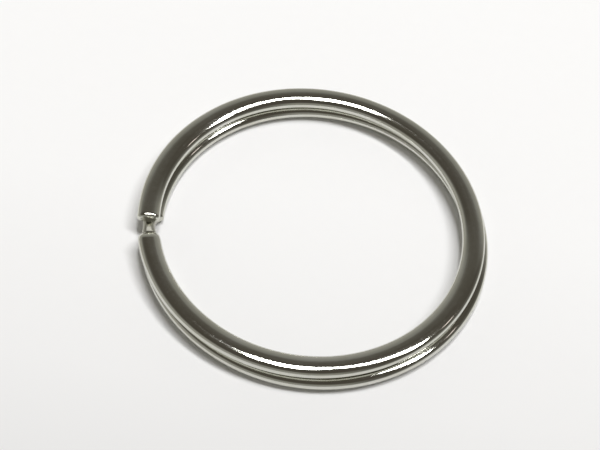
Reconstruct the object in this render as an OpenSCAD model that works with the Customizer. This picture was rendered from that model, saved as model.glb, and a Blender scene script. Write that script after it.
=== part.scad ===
// Split key ring: one springy, nickel plated wire wound into two turns that lie one on the other.
// The origin is at the middle of the ring, on the surface that it lies on, with +Z up along the
// ring's axis. Angles are counted anticlockwise from +X, seen from above.

/* [Ring] */
// Diameter over the outside of the upper turn
upper_d = 30; // [24:0.5:50]
// Diameter over the outside of the lower turn, which springs open a little more
lower_d = 30.2; // [24:0.1:50.5]
// How far the middles of the two turns lie apart
turn_shift = 0.44; // [0:0.02:0.8]
// Direction in which the lower turn lies off the upper one, in degrees
turn_shift_dir = 314; // [0:1:359]
// Running gap between the two turns
turn_gap = 0.04; // [0.02:0.01:0.3]

/* [Wire] */
// Width of the wire, across the ring
wire_w = 2; // [1.5:0.1:3.5]
// Thickness of the wire, along the ring's axis
wire_h = 1.1; // [0.7:0.05:2]
// Width of the narrow flats in the middle of the wire's crowned top and underneath
land_w = 0.2; // [0.1:0.05:1]
// Fullness of the wire's section beside the flats: 2 is an ellipse, and more is squarer
fullness = 2.2; // [1.8:0.1:4]

/* [Crossover] */
// Direction of the crossover from the middle of the ring, in degrees
crossover_dir = 180; // [0:1:359]
// Length of the cranked stretch in which the wire climbs from the lower turn to the upper one
crossover_l = 1.7; // [1.5:0.1:5]
// Length of the waist that the cranking leaves in the wire
waist_l = 3.9; // [1:0.1:5]
// How far the waist's middle lies before the middle of the climb
waist_lead = 0.65; // [-1:0.05:1]
// Below 1 the waist is steep at its lower end and fades towards the upper turn
waist_skew = 0.5; // [0.4:0.05:1]
// Depth of the waist on the wire's inner side
waist_in = 0.65; // [0:0.05:0.7]
// Depth of the waist on the wire's outer side
waist_out = 0.25; // [0:0.05:0.5]
// Gap between each cut end of the wire and the crossover beside it
end_gap = 0.45; // [0.1:0.05:2]

/* [Cut ends] */
// Radius of the rounding at the wire's two cut ends
end_round = 0.3; // [0.05:0.05:0.3]

/* [Hidden] */

// The rounded edge of the wire's section has this many facets from a flat to its widest point
edge_steps = 5;
// Sections of the wire along each turn, along the crossover and round the rim of a cut end
turn_steps = 72;
crossover_steps = 26;
end_steps = 4;

// Share of the climb's slope by which the wire's section leans, the rest being shear
climb_lean = 0.6;

pitch = wire_h + turn_gap;
upper_r = (upper_d - wire_w) / 2;
lower_r = (lower_d - wire_w) / 2;
upper_z = wire_h / 2 + pitch;
lower_z = wire_h / 2;

// Angle that a length takes up at the upper turn's middle line
function angle_of(length) = length / upper_r * 180 / PI;

climb_start = crossover_dir - angle_of(crossover_l / 2);
climb_end = crossover_dir + angle_of(crossover_l / 2);
waist_start = crossover_dir - angle_of(waist_lead + waist_l / 2);
waist_end = crossover_dir - angle_of(waist_lead - waist_l / 2);
crossover_start = min(climb_start, waist_start);
crossover_end = max(climb_end, waist_end);

// The wire starts beside the climb's top, goes once round to its foot, climbs, and goes once more
// round to end beside its foot
lower_start = climb_end + angle_of(end_gap + end_round) - 360;
upper_end = climb_start - angle_of(end_gap + end_round) + 360;

function mix(a, b, t) = a + (b - a) * t;
function unit(angle) = [cos(angle), sin(angle)];

// The origin is half way between the middles of the two turns
lower_centre = turn_shift / 2 * unit(turn_shift_dir);
upper_centre = -lower_centre;

// Share of a stretch that is passed at an angle: 0 up to its start and 1 from its end on
function passed(angle, start, end) = max(0, min(1, (angle - start) / (end - start)));

// Share of the climb made at t, from 0 at the climb's foot to 1 at its top, and its steepness
function climb(t) = (1 - cos(180 * t)) / 2;
function climb_rate(t) = PI / 2 * sin(180 * t);

// Quarter of the wire's outline: from the end of a flat round to the widest point, or back
function edge(w, h, side, face, out) = [
    for (i = [0 : edge_steps])
        let (a = 90 * (out ? edge_steps - i : i) / edge_steps, power = 2 / fullness)
        [side * (land_w / 2 + (w - land_w) / 2 * cos(a) ^ power), face * h / 2 * sin(a) ^ power]
];

// The widest points at the two sides belong to two quarters each, so one copy is left out
function without_last(points) = [for (i = [0 : len(points) - 2]) points[i]];

// Outline of the wire: x across the ring, y along the ring's axis, with its middle at the origin
function outline(w, h) = concat(
    edge(w, h, 1, 1, false),
    without_last(edge(w, h, -1, 1, true)),
    edge(w, h, -1, -1, false),
    without_last(edge(w, h, 1, -1, true))
);

// Section of the wire at one angle. up is its share of the climb from the lower turn to the upper
// one, out moves it away from the ring's middle, and tilt leans it back along the path
function section(angle, up, w = wire_w, h = wire_h, out = 0, tilt = 0) =
    let (
        centre = mix(lower_centre, upper_centre, up),
        radius = mix(lower_r, upper_r, up) + out,
        z = mix(lower_z, upper_z, up)
    )
    [
        for (p = outline(w, h))
            let (flat = centre + (radius + p[0]) * unit(angle) - p[1] * sin(tilt) * unit(angle + 90))
            [flat[0], flat[1], z + p[1] * cos(tilt)]
    ];

// Sections of one plain turn
function turn(from, to, up) = [
    for (i = [0 : turn_steps]) section(mix(from, to, i / turn_steps), up)
];

// Sections of the rounded rim of a cut end, from the turn out to the tip that faces way 1 or -1
function cut_end(angle, up, way) = [
    for (i = [1 : end_steps])
        let (a = 90 * i / end_steps, inset = end_round * (1 - cos(a)))
        section(
            angle + way * angle_of(end_round * sin(a)), up, wire_w - 2 * inset, wire_h - 2 * inset
        )
];

// Sections of the cranked stretch between the two turns, with its climb and its waist
function crossover() = [
    for (i = [1 : crossover_steps - 1])
        let (
            angle = mix(crossover_start, crossover_end, i / crossover_steps),
            t = passed(angle, climb_start, climb_end),
            waist = sin(180 * passed(angle, waist_start, waist_end) ^ waist_skew) ^ 2
        )
        section(
            angle,
            climb(t),
            w = wire_w - (waist_in + waist_out) * waist,
            out = (waist_in - waist_out) / 2 * waist,
            tilt = climb_lean * atan(climb_rate(t) * pitch / crossover_l)
        )
];

function reversed(list) = [for (i = [len(list) - 1 : -1 : 0]) list[i]];

// Solid through a list of sections that all have the same number of points
module skin(sections) {
    n = len(sections[0]);
    last = len(sections) - 1;
    points = [for (s = sections, p = s) p];
    sides = [
        for (i = [0 : last - 1], j = [0 : n - 1])
            let (k = (j + 1) % n)
            each [
                [i * n + j, (i + 1) * n + k, (i + 1) * n + j],
                [i * n + j, i * n + k, (i + 1) * n + k]
            ]
    ];
    first_face = [[for (j = [n - 1 : -1 : 0]) j]];
    last_face = [[for (j = [0 : n - 1]) last * n + j]];
    polyhedron(points, concat(sides, first_face, last_face));
}

// The whole ring is one wire, skinned from its lower cut end to its upper one
module split_ring() {
    color("silver")
        skin(concat(
            reversed(cut_end(lower_start, 0, -1)),
            turn(lower_start, crossover_start, 0),
            crossover(),
            turn(crossover_end, upper_end, 1),
            cut_end(upper_end, 1, 1)
        ));
}

split_ring();
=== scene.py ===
import math

import bpy
import numpy as np
from mathutils import Matrix, Vector


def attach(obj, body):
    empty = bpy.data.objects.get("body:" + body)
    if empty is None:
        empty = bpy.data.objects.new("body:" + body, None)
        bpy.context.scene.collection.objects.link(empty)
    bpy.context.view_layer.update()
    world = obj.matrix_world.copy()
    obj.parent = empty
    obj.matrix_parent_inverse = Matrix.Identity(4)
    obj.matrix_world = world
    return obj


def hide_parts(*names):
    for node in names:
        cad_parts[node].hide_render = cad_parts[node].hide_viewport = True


MM = 0.001

# The ring's sizes in millimetres and directions in degrees, the same as in the part's source
UPPER_D = 30.0
LOWER_D = 30.2
TURN_SHIFT = 0.44
TURN_SHIFT_DIR = 314
TURN_GAP = 0.04
WIRE_W = 2.0
WIRE_H = 1.1
LAND_W = 0.2
CROSSOVER_DIR = 180
CROSSOVER_L = 1.7
WAIST_L = 3.9
WAIST_LEAD = 0.65
WAIST_SKEW = 0.5
WAIST_IN = 0.65
WAIST_OUT = 0.25
CLIMB_LEAN = 0.6
END_GAP = 0.45
END_ROUND = 0.3

# The drawn section, a setting for the look: fuller outside than inside, rolled by a few degrees,
# and smaller than the source's so that the finer mesh stays within the CAD box
FULL_OUT = 2.5
FULL_IN = 2.3
ROLL = -2.5
SECTION_W = 1.969
SECTION_H = 1.079

# Steps of the drawn wire: along each turn, along the crossover, round a cut end's rim, and in a
# quarter of one section
TURN_STEPS = 480
CROSSOVER_STEPS = 80
END_STEPS = 10
EDGE_STEPS = 16

PITCH = WIRE_H + TURN_GAP
UPPER_R = (UPPER_D - WIRE_W) / 2
LOWER_R = (LOWER_D - WIRE_W) / 2

# The photograph's view, in millimetres and degrees. The camera, the floor, the lamps and the room
# stand in axes turned about Z, in which the camera looks towards +Y. CAM_AIM is the point that it
# looks at, measured from the upper turn's centre in these axes.
VIEW_TURN = -13.2
VIEW_AXES = Matrix.Rotation(math.radians(VIEW_TURN), 4, "Z")
CAM_DISTANCE = 138.73
CAM_ELEVATION = 55.003
CAM_ROLL = 8.318
CAM_SENSOR = 36
CAM_LENS = 95.566
CAM_AIM = (-1.023, 0.9865)
CAM_CLIP = 1.0

# The floor, in metres: its size, and how far it lies below the ring
FLOOR_SIZE = 3.0
FLOOR_DROP = 0.00001

# The lamps: their distance from the ring in metres, and the radiance of their faces
LAMP_DISTANCE = 3.0
TOP_RADIANCE = 24.0
SIDE_RADIANCE = 2.0
SIDE_COLOUR = (1.0, 0.88, 0.86)

# The metal's colours: stained, plain, bright, clouded, and painted shade at the squeezed neck,
# and how much the last two tint
STAINED = (0.58, 0.575, 0.51)
PLAIN = (0.625, 0.625, 0.565)
BRIGHT = (0.65, 0.65, 0.61)
CLOUDED = (0.55, 0.54, 0.47)
SQUEEZED_SHADE = (0.38, 0.37, 0.32)
CLOUD_TINT = 0.35
SQUEEZED_SHADE_TINT = 0.75

# The metal's roughness along the drawing marks, and what rubs and squeezing add to it
POLISH = (0.045, 0.085)
RUB_ROUGH = 0.06
SQUEEZED_ROUGH = 0.25

# Where the squeezed neck's roughness and painted shade are full and where they have gone, in
# millimetres from the neck's middle
SQUEEZED_SPAN = (0.9, 2.0)

# The metal's relief: its depth in metres, its strength, and the drawing marks' and clouds' shares
RELIEF = 0.00001
RELIEF_STRENGTH = 0.35
DRAWN_RELIEF = 0.7
CLOUD_RELIEF = 1.3

# The paper's colours from near to far, darker near the viewer as painted shade, between these two
# places in metres, and its grain
PAPER_SPAN = (-0.035, 0.03)
PAPER_PAINTED_SHADE = [(0.0, (0.72, 0.72, 0.725)), (0.3, (0.85, 0.85, 0.855)),
         (0.6, (0.92, 0.92, 0.925)), (1.0, (0.94, 0.94, 0.945))]
GRAIN_COLOUR = (0.8, 0.8, 0.8)
GRAIN_TINT = 0.04
GRAIN_SCALE = 900.0

# The room: the ceiling's colour, how a wall's grey is tinted, and what the camera sees instead
CEILING = (0.09, 0.08, 0.066)
WALL_TINT = (1.0, 0.98, 0.9)
BACKGROUND = (1.0, 1.0, 1.0)


def unit(angle):
    return np.array([math.cos(math.radians(angle)), math.sin(math.radians(angle))])


def mix(a, b, t):
    return a + (b - a) * t


def angle_of(length):
    return math.degrees(length / UPPER_R)


LOWER_CENTRE = TURN_SHIFT / 2 * unit(TURN_SHIFT_DIR)
UPPER_CENTRE = -LOWER_CENTRE
CLIMB_START = CROSSOVER_DIR - angle_of(CROSSOVER_L / 2)
CLIMB_END = CROSSOVER_DIR + angle_of(CROSSOVER_L / 2)
WAIST_START = CROSSOVER_DIR - angle_of(WAIST_LEAD + WAIST_L / 2)
WAIST_END = CROSSOVER_DIR - angle_of(WAIST_LEAD - WAIST_L / 2)
CROSS_START = min(CLIMB_START, WAIST_START)
CROSS_END = max(CLIMB_END, WAIST_END)
LOWER_START = CLIMB_END + angle_of(END_GAP + END_ROUND) - 360
UPPER_END = CLIMB_START - angle_of(END_GAP + END_ROUND) + 360


def passed(angle, start, end):
    return max(0.0, min(1.0, (angle - start) / (end - start)))


def quarter_outline(side, fullness, w, h):
    """Quarter of the section from its edge up to the land, on the outer (1) or inner (-1) side."""
    points = []
    for t in np.linspace(0, math.pi / 2, EDGE_STEPS + 1):
        reach = LAND_W / 2 + (w - LAND_W) / 2 * max(0.0, math.cos(t)) ** (2 / fullness)
        points.append((side * reach, h / 2 * math.sin(t) ** (2 / fullness)))
    return points


def outline(w, h):
    """Section of the wire from its outer edge over the top to the inner edge and back underneath."""
    top = quarter_outline(1, FULL_OUT, w, h) + quarter_outline(-1, FULL_IN, w, h)[::-1]
    under = [(x, -y) for x, y in top[::-1]][1:-1]
    p = np.array(top + under)
    c, s = math.cos(math.radians(ROLL)), math.sin(math.radians(ROLL))
    return np.column_stack([p[:, 0] * c + p[:, 1] * s, p[:, 1] * c - p[:, 0] * s])


def section(angle, up, w=SECTION_W, h=SECTION_H, out=0.0, tilt=0.0):
    """Section's points in space. up is 0 on the lower turn and 1 on the upper one."""
    centre = mix(LOWER_CENTRE, UPPER_CENTRE, up)
    radius = mix(LOWER_R, UPPER_R, up) + out
    z = WIRE_H / 2 + PITCH * up
    p = outline(w, h)
    lean = np.outer(p[:, 1] * math.sin(tilt), unit(angle + 90))
    flat = centre + np.outer(radius + p[:, 0], unit(angle)) - lean
    return np.column_stack([flat, z + p[:, 1] * math.cos(tilt)])


def turn(start, end, up):
    return [section(mix(start, end, i / TURN_STEPS), up) for i in range(TURN_STEPS + 1)]


def cut_end(angle, up, way):
    """Rounded rim of a cut end, from the turn outwards."""
    rings = []
    for i in range(1, END_STEPS + 1):
        a = math.pi / 2 * i / END_STEPS
        inset = END_ROUND * (1 - math.cos(a))
        at = angle + way * angle_of(END_ROUND * math.sin(a))
        rings.append(section(at, up, SECTION_W - 2 * inset, SECTION_H - 2 * inset))
    return rings


def crossover():
    """The squeezed stretch that climbs from the lower turn to the upper one."""
    rings = []
    for i in range(1, CROSSOVER_STEPS):
        angle = mix(CROSS_START, CROSS_END, i / CROSSOVER_STEPS)
        t = passed(angle, CLIMB_START, CLIMB_END)
        waist = math.sin(math.pi * passed(angle, WAIST_START, WAIST_END) ** WAIST_SKEW) ** 2
        slope = math.pi / 2 * math.sin(math.pi * t) * PITCH / CROSSOVER_L
        rings.append(section(
            angle, (1 - math.cos(math.pi * t)) / 2,
            w=SECTION_W - (WAIST_IN + WAIST_OUT) * waist,
            out=(WAIST_IN - WAIST_OUT) / 2 * waist,
            tilt=CLIMB_LEAN * math.atan(slope)))
    return rings


def skin_faces(count, n):
    """Quads between each section and the next, and one face over each cut end."""
    faces = []
    for i in range(count - 1):
        for j in range(n):
            k = (j + 1) % n
            faces.append((i * n + j, (i + 1) * n + j, (i + 1) * n + k, i * n + k))
    last = (count - 1) * n
    faces.append(tuple(range(n)))
    faces.append(tuple(range(last + n - 1, last - 1, -1)))
    return faces


def lay_uv(mesh, rings):
    """UV in millimetres: U along the wire, V round its section from its underside's middle."""
    n = len(rings[0])
    gaps = [np.linalg.norm(b.mean(0) - a.mean(0)) for a, b in zip(rings, rings[1:])]
    along = np.concatenate([[0], np.cumsum(gaps)])
    full = section(0, 0)
    sides = np.linalg.norm(np.roll(full, -1, axis=0) - full, axis=1)
    around = np.concatenate([[0], np.cumsum(sides)])
    seam = around[3 * n // 4]
    layer = mesh.uv_layers.new(name="wire")
    for p in mesh.polygons:
        if len(p.vertices) != 4:
            for li, v in zip(p.loop_indices, p.vertices):
                layer.data[li].uv = (along[v // n], around[v % n])
            continue
        i, j = divmod(p.vertices[0], n)
        low, high = around[j] - seam, around[j + 1] - seam
        if low < 0:
            low, high = low + around[-1], high + around[-1]
        corners = ((along[i], low), (along[i + 1], low), (along[i + 1], high), (along[i], high))
        for li, uv in zip(p.loop_indices, corners):
            layer.data[li].uv = uv


def wire_mesh(name):
    rings = (cut_end(LOWER_START, 0, -1)[::-1] + turn(LOWER_START, CROSS_START, 0) + crossover()
             + turn(CROSS_END, UPPER_END, 1) + cut_end(UPPER_END, 1, 1))
    mesh = bpy.data.meshes.new(name)
    faces = skin_faces(len(rings), len(rings[0]))
    mesh.from_pydata((np.concatenate(rings) * MM).tolist(), [], faces)
    for p in mesh.polygons:
        p.use_smooth = len(p.vertices) == 4
    lay_uv(mesh, rings)
    mesh.validate()
    ob = bpy.data.objects.new(name, mesh)
    bpy.context.scene.collection.objects.link(ob)
    return ob


class Nodes:
    """Short hand for building a node tree."""

    def __init__(self, tree):
        self.tree = tree

    def add(self, kind, **values):
        """Add a node. Each value is set on the node itself, or else on its input of that name."""
        node = self.tree.nodes.new(kind)
        for key, value in values.items():
            if hasattr(node, key):
                setattr(node, key, value)
            else:
                node.inputs[key].default_value = value
        return node

    def link(self, a, b):
        self.tree.links.new(a, b)

    def ramp(self, source, stops):
        node = self.add("ShaderNodeValToRGB")
        elements = node.color_ramp.elements
        while len(elements) < len(stops):
            elements.new(0.5)
        for element, (position, colour) in zip(elements, stops):
            element.position = position
            element.color = (*colour, 1)
        self.link(source, node.inputs["Fac"])
        return node.outputs["Color"]

    def grey(self, source, span, to):
        """Turn source from the values of span into those of to. Inputs 1 to 4 take these values."""
        node = self.add("ShaderNodeMapRange")
        for i, v in enumerate((*span, *to), start=1):
            node.inputs[i].default_value = v
        self.link(source, node.inputs["Value"])
        return node.outputs["Result"]

    def maths(self, op, a, b):
        node = self.add("ShaderNodeMath", operation=op)
        for i, v in enumerate((a, b)):
            if isinstance(v, (int, float)):
                node.inputs[i].default_value = v
            else:
                self.link(v, node.inputs[i])
        return node.outputs["Value"]

    def mix(self, fac, a, b):
        """Blend the colours a and b. Inputs 0, 6 and 7 are the colour mix's factor, A and B."""
        node = self.add("ShaderNodeMix", data_type="RGBA")
        for i, v in ((0, fac), (6, a), (7, b)):
            if isinstance(v, tuple):
                node.inputs[i].default_value = (*v, 1)
            else:
                self.link(v, node.inputs[i])
        return node.outputs[2]

    def noise(self, vector, **values):
        node = self.add("ShaderNodeTexNoise", **values)
        self.link(vector, node.inputs["Vector"])
        return node.outputs["Fac"]

    def split(self, vector):
        node = self.add("ShaderNodeSeparateXYZ")
        self.link(vector, node.inputs["Vector"])
        return node.outputs


def new_material(name):
    m = bpy.data.materials.new(name)
    m.use_nodes = True
    return m, Nodes(m.node_tree), m.node_tree.nodes["Principled BSDF"].inputs


def nickel(neck):
    """Polished nickel plate with marks of the drawing along the wire, and faint rubs and stains.

    It is rougher where the wire is squeezed, round the length neck along it, and darker there:
    painted shade that dims its reflections.
    """
    m, nt, surface = new_material("nickel_plate")
    surface["Metallic"].default_value = 1.0
    uv = nt.add("ShaderNodeTexCoord").outputs["UV"]

    def pattern(along, around, scale, detail):
        """Noise over the wire's UV, which is scaled by the factors along and around."""
        mapping = nt.add("ShaderNodeMapping")
        mapping.inputs["Scale"].default_value = (along, around, 1)
        nt.link(uv, mapping.inputs["Vector"])
        return nt.noise(mapping.outputs["Vector"], Scale=scale, Detail=detail, Roughness=0.6)

    drawn = pattern(along=0.12, around=3.2, scale=3.0, detail=5.0)
    rubs = pattern(along=1.4, around=0.8, scale=4.0, detail=4.0)
    stains = pattern(along=0.22, around=0.5, scale=1.0, detail=3.0)
    cloud = pattern(along=0.6, around=0.6, scale=1.6, detail=4.0)
    off = nt.maths("ABSOLUTE", nt.maths("SUBTRACT", nt.split(uv)["X"], neck), 0.0)

    tone = nt.ramp(stains, [(0.3, STAINED), (0.5, PLAIN), (0.7, BRIGHT)])
    tone = nt.mix(nt.grey(cloud, span=(0.52, 0.72), to=(0.0, CLOUD_TINT)), tone, CLOUDED)
    # Painted shade: the squeezed neck's colour is darkened to dim its reflections.
    tone = nt.mix(nt.grey(off, span=SQUEEZED_SPAN, to=(SQUEEZED_SHADE_TINT, 0.0)), tone, SQUEEZED_SHADE)
    nt.link(tone, surface["Base Color"])

    polish = nt.grey(drawn, span=(0.35, 0.7), to=POLISH)
    rubbed = nt.grey(rubs, span=(0.55, 0.75), to=(0.0, RUB_ROUGH))
    squeezed = nt.grey(off, span=SQUEEZED_SPAN, to=(SQUEEZED_ROUGH, 0.0))
    rough = nt.maths("ADD", polish, nt.maths("ADD", rubbed, squeezed))
    nt.link(rough, surface["Roughness"])

    height = nt.maths("ADD", nt.maths("MULTIPLY", drawn, DRAWN_RELIEF),
                      nt.maths("MULTIPLY", cloud, CLOUD_RELIEF))
    bump = nt.add("ShaderNodeBump", Strength=RELIEF_STRENGTH, Distance=RELIEF)
    nt.link(height, bump.inputs["Height"])
    nt.link(bump.outputs["Normal"], surface["Normal"])
    return m


def paper():
    """White sheet with a fine grain, and painted shade that darkens it towards the viewer."""
    m, nt, surface = new_material("paper")
    place = nt.add("ShaderNodeTexCoord").outputs["Object"]
    # Painted shade: the sheet's colour darkens towards the viewer.
    tone = nt.ramp(nt.grey(nt.split(place)["Y"], span=PAPER_SPAN, to=(0.0, 1.0)), PAPER_PAINTED_SHADE)
    grain = nt.noise(place, Scale=GRAIN_SCALE, Detail=2.0)
    tone = nt.mix(nt.grey(grain, span=(0.3, 0.7), to=(0.0, GRAIN_TINT)), tone, GRAIN_COLOUR)
    nt.link(tone, surface["Base Color"])
    surface["Roughness"].default_value = 0.9
    surface["Specular IOR Level"].default_value = 0.1
    return m


def photo_camera():
    """The photograph's camera, over the view's -Y side and looking at CAM_AIM."""
    elevation, roll = math.radians(CAM_ELEVATION), math.radians(CAM_ROLL)
    back = Vector((0, -math.cos(elevation), math.sin(elevation)))
    right = Vector((1, 0, 0))
    up = back.cross(right)
    cam_x = math.cos(roll) * right + math.sin(roll) * up
    cam_y = -math.sin(roll) * right + math.cos(roll) * up
    axes = Matrix((cam_x, cam_y, back)).transposed().to_4x4()
    centre = Vector((*UPPER_CENTRE, 0)) * MM
    aim = VIEW_AXES @ (Vector((*CAM_AIM, 0)) * MM) + centre
    eye = aim + VIEW_AXES @ (back * CAM_DISTANCE * MM)

    data = bpy.data.cameras.new("camera")
    data.sensor_width = CAM_SENSOR
    data.lens = CAM_LENS
    data.clip_start = CAM_CLIP * MM
    cam = bpy.data.objects.new("camera", data)
    bpy.context.scene.collection.objects.link(cam)
    cam.matrix_world = Matrix.Translation(eye) @ VIEW_AXES @ axes
    bpy.context.scene.camera = cam


def panel(name, aim, size, turn_deg, radiance, colour=(1, 1, 1)):
    """Soft lamp that faces the ring.

    aim is the X and Y of the unit vector towards it, and size its width and depth as shares of its
    distance.
    """
    data = bpy.data.lights.new(name, "AREA")
    data.shape = "RECTANGLE"
    data.size, data.size_y = size[0] * LAMP_DISTANCE, size[1] * LAMP_DISTANCE
    data.color = colour
    data.energy = radiance * math.pi * data.size * data.size_y
    ob = bpy.data.objects.new(name, data)
    bpy.context.scene.collection.objects.link(ob)
    to_lamp = Vector((aim[0], aim[1], math.sqrt(1 - aim[0] ** 2 - aim[1] ** 2)))
    side = Vector((math.cos(math.radians(turn_deg)), math.sin(math.radians(turn_deg)), 0))
    side = (side - side.dot(to_lamp) * to_lamp).normalized()
    axes = Matrix((side, to_lamp.cross(side), to_lamp)).transposed().to_4x4()
    ob.matrix_world = VIEW_AXES @ Matrix.Translation(to_lamp * LAMP_DISTANCE) @ axes


def room():
    """Plain room of five parts, each a grey that darkens towards the ceiling. The camera sees white."""
    world = bpy.data.worlds.new("room")
    world.use_nodes = True
    bpy.context.scene.world = world
    nt = Nodes(world.node_tree)
    rotate = nt.add("ShaderNodeVectorRotate", rotation_type="Z_AXIS",
                    Angle=math.radians(-VIEW_TURN))
    nt.link(nt.add("ShaderNodeTexCoord").outputs["Generated"], rotate.inputs["Vector"])
    way = nt.split(rotate.outputs["Vector"])

    def wall(low, mid, mid_height, top_height):
        """Grey low at the horizon and mid at mid_height, and the ceiling from top_height upwards."""
        low_tone = tuple(low * tint for tint in WALL_TINT)
        mid_tone = tuple(mid * tint for tint in WALL_TINT)
        stops = [(0.0, low_tone), (mid_height, mid_tone), (top_height, CEILING)]
        return nt.ramp(way["Z"], stops)

    middle = wall(low=0.46, mid=0.13, mid_height=0.6, top_height=0.85)
    near = wall(low=0.42, mid=0.32, mid_height=0.6, top_height=0.8)
    left = wall(low=0.52, mid=0.4, mid_height=0.58, top_height=0.85)
    right = wall(low=0.48, mid=0.16, mid_height=0.32, top_height=0.7)
    far = wall(low=0.55, mid=0.28, mid_height=0.72, top_height=0.85)
    colour = nt.mix(nt.grey(way["Y"], span=(-0.5, 0.0), to=(1.0, 0.0)), middle, near)
    colour = nt.mix(nt.grey(way["X"], span=(-0.75, -0.4), to=(1.0, 0.0)), colour, left)
    colour = nt.mix(nt.grey(way["X"], span=(0.35, 0.6), to=(0.0, 1.0)), colour, right)
    colour = nt.mix(nt.grey(way["Y"], span=(0.48, 0.66), to=(0.0, 1.0)), colour, far)
    camera_ray = nt.add("ShaderNodeLightPath").outputs["Is Camera Ray"]
    colour = nt.mix(camera_ray, colour, BACKGROUND)
    nt.link(colour, world.node_tree.nodes["Background"].inputs["Color"])


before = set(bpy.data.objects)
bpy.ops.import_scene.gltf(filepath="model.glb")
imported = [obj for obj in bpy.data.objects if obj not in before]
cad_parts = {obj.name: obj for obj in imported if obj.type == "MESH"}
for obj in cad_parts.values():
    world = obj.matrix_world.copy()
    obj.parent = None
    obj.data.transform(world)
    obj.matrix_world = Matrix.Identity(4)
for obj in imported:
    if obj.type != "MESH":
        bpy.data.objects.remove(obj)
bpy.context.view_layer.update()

ring = wire_mesh("key_ring_wire")
neck_at = math.radians((CROSS_START + CROSS_END) / 2 - LOWER_START) * LOWER_R
ring.data.materials.append(nickel(neck_at))
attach(ring, "root")
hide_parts("split_ring")

bpy.ops.mesh.primitive_plane_add(size=FLOOR_SIZE, location=(0, 0, -FLOOR_DROP))
floor = bpy.context.object
floor.name = "floor"
floor.rotation_euler[2] = math.radians(VIEW_TURN)
floor.data.materials.append(paper())

photo_camera()
panel("key", aim=(0.0, 0.25), size=(0.17, 0.31), turn_deg=-16, radiance=TOP_RADIANCE)
panel("wing", aim=(0.355, 0.15), size=(0.55, 0.12), turn_deg=-28, radiance=TOP_RADIANCE)
panel("side", aim=(0.65, 0.17), size=(0.08, 0.08), turn_deg=0, radiance=SIDE_RADIANCE,
      colour=SIDE_COLOUR)
room()

bpy.context.scene.view_settings.view_transform = "Standard"
